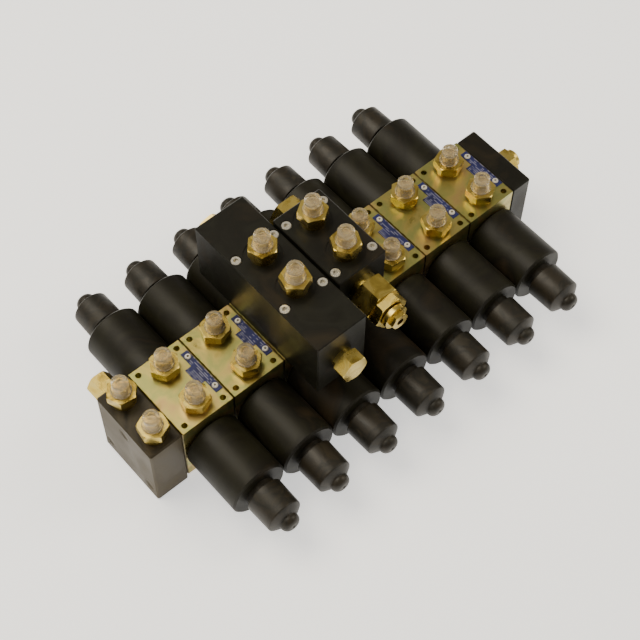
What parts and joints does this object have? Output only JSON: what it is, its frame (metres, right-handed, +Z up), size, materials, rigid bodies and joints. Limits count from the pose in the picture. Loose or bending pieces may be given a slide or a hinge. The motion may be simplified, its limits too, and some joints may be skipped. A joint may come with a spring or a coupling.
{
  "type": "hydraulic directional valve bank",
  "caption": "Stacked solenoid directional valve sections between end plates, with capped port fittings on top and add-on check and relief blocks.",
  "frame": {"origin": "middle of the four foot screw holes, on the mounting plane under the end plates", "axes": "+X along the stack from the inlet plate to the closing plate, +Y towards the far row of solenoids, +Z up, the way the port fittings point"},
  "size_m": [0.417, 0.268, 0.1609],
  "materials": {
    "zinc_olive": "yellow passivated zinc, satin",
    "zinc_yellow": "bright yellow passivated zinc",
    "black_steel": "black oxide, satin",
    "coil_black": "black, satin",
    "boot_rubber": "moulded rubber, satin",
    "cap_plastic": "milky plastic",
    "label_blue": "printed plate",
    "rivet_steel": "bright",
    "bright_steel": "bright zinc",
    "copper": "enamelled wire",
    "seal_rubber": "moulded rubber"
  },
  "bodies": {
    "root": {"armature_tubes": "bright_steel", "block_screws": "bright_steel", "centring_springs_1": "bright_steel", "centring_springs_2": "bright_steel", "centring_springs_3": "bright_steel", "centring_springs_4": "bright_steel", "centring_springs_5": "bright_steel", "centring_springs_6": "bright_steel", "centring_springs_7": "bright_steel", "check_springs": "bright_steel", "closing_end_plate": "black_steel", "closing_plug": "zinc_yellow", "coil_nuts": "bright_steel", "coil_windings": "copper", "far_cartridge": "zinc_yellow", "inlet_end_plate": "black_steel", "inlet_relief_cartridge": "zinc_yellow", "label_plates": "label_blue", "label_rivets": "rivet_steel", "long_block": "black_steel", "long_block_plugs": "zinc_yellow", "port_caps": "cap_plastic", "relief_cartridge": "zinc_yellow", "relief_spring": "bright_steel", "seals": "seal_rubber", "section_fittings": "zinc_yellow", "short_block": "black_steel", "solenoid_boots": "boot_rubber", "solenoid_cans": "coil_black", "tall_fittings": "zinc_yellow", "tie_rod_nuts": "bright_steel", "tie_rods": "bright_steel", "valve_section_1": "zinc_olive", "valve_section_2": "zinc_olive", "valve_section_3": "zinc_olive", "valve_section_4": "zinc_olive", "valve_section_5": "zinc_olive", "valve_section_6": "zinc_olive", "valve_section_7": "zinc_olive"},
    "spool_set_1": {"spool_1": "bright_steel", "armatures_1": "bright_steel"},
    "spool_set_2": {"spool_2": "bright_steel", "armatures_2": "bright_steel"},
    "spool_set_3": {"spool_3": "bright_steel", "armatures_3": "bright_steel"},
    "spool_set_4": {"spool_4": "bright_steel", "armatures_4": "bright_steel"},
    "spool_set_5": {"spool_5": "bright_steel", "armatures_5": "bright_steel"},
    "spool_set_6": {"spool_6": "bright_steel", "armatures_6": "bright_steel"},
    "spool_set_7": {"spool_7": "bright_steel", "armatures_7": "bright_steel"},
    "near_check": {"near_check_poppet": "bright_steel"},
    "far_check": {"far_check_poppet": "bright_steel"},
    "pilot": {"pilot_piston": "bright_steel"},
    "relief_cone": {"relief_poppet": "bright_steel"},
    "adjuster_carriage": {"spring_seat": "bright_steel"},
    "adjuster_screw": {"adjusting_screw": "zinc_yellow"},
    "adjuster_nut": {"lock_nut": "zinc_yellow"}
  },
  "joints": [
    {"name": "spool_1_shift", "type": "slide", "parent": "root", "child": "spool_set_1", "axis": [0, 1, 0], "range_m": [-0.0032, 0.0032], "stiffness_N_per_m": 4000, "deforming": ["centring_springs_1"]},
    {"name": "spool_2_shift", "type": "slide", "parent": "root", "child": "spool_set_2", "axis": [0, 1, 0], "range_m": [-0.0032, 0.0032], "stiffness_N_per_m": 4000, "deforming": ["centring_springs_2"]},
    {"name": "spool_3_shift", "type": "slide", "parent": "root", "child": "spool_set_3", "axis": [0, 1, 0], "range_m": [-0.0032, 0.0032], "stiffness_N_per_m": 4000, "deforming": ["centring_springs_3"]},
    {"name": "spool_4_shift", "type": "slide", "parent": "root", "child": "spool_set_4", "axis": [0, 1, 0], "range_m": [-0.0032, 0.0032], "stiffness_N_per_m": 4000, "deforming": ["centring_springs_4"]},
    {"name": "spool_5_shift", "type": "slide", "parent": "root", "child": "spool_set_5", "axis": [0, 1, 0], "range_m": [-0.0032, 0.0032], "stiffness_N_per_m": 4000, "deforming": ["centring_springs_5"]},
    {"name": "spool_6_shift", "type": "slide", "parent": "root", "child": "spool_set_6", "axis": [0, 1, 0], "range_m": [-0.0032, 0.0032], "stiffness_N_per_m": 4000, "deforming": ["centring_springs_6"]},
    {"name": "spool_7_shift", "type": "slide", "parent": "root", "child": "spool_set_7", "axis": [0, 1, 0], "range_m": [-0.0032, 0.0032], "stiffness_N_per_m": 4000, "deforming": ["centring_springs_7"]},
    {"name": "near_check_lift", "type": "slide", "parent": "root", "child": "near_check", "axis": [0, -1, 0], "range_m": [0, 0.003], "stiffness_N_per_m": 500, "deforming": ["check_springs"]},
    {"name": "far_check_lift", "type": "slide", "parent": "root", "child": "far_check", "axis": [0, 1, 0], "range_m": [0, 0.003], "stiffness_N_per_m": 500, "deforming": ["check_springs"]},
    {"name": "pilot_shift", "type": "slide", "parent": "root", "child": "pilot", "axis": [0, 1, 0], "range_m": [-0.003, 0.003]},
    {"name": "relief_lift", "type": "slide", "parent": "root", "child": "relief_cone", "axis": [0, -1, 0], "range_m": [0, 0.0012], "stiffness_N_per_m": 20000, "deforming": ["relief_spring"]},
    {"name": "adjuster_advance", "type": "slide", "parent": "root", "child": "adjuster_carriage", "axis": [0, 1, 0], "range_m": [-0.00087, 0.00087], "deforming": ["relief_spring"]},
    {"name": "adjuster_turn", "type": "hinge", "parent": "adjuster_carriage", "child": "adjuster_screw", "pos_m": [0.0025, -0.078, 0.109], "axis": [0, 1, 0], "range_deg": [-180, 180]},
    {"name": "lock_nut_turn", "type": "hinge", "parent": "root", "child": "adjuster_nut", "pos_m": [0.0025, -0.0685, 0.109], "axis": [0, 1, 0], "range_deg": [-180, 0]}
  ],
  "couplings": [
    {"joint": "adjuster_turn", "follows": "adjuster_advance", "rad_per_m": 3590.4}
  ]
}
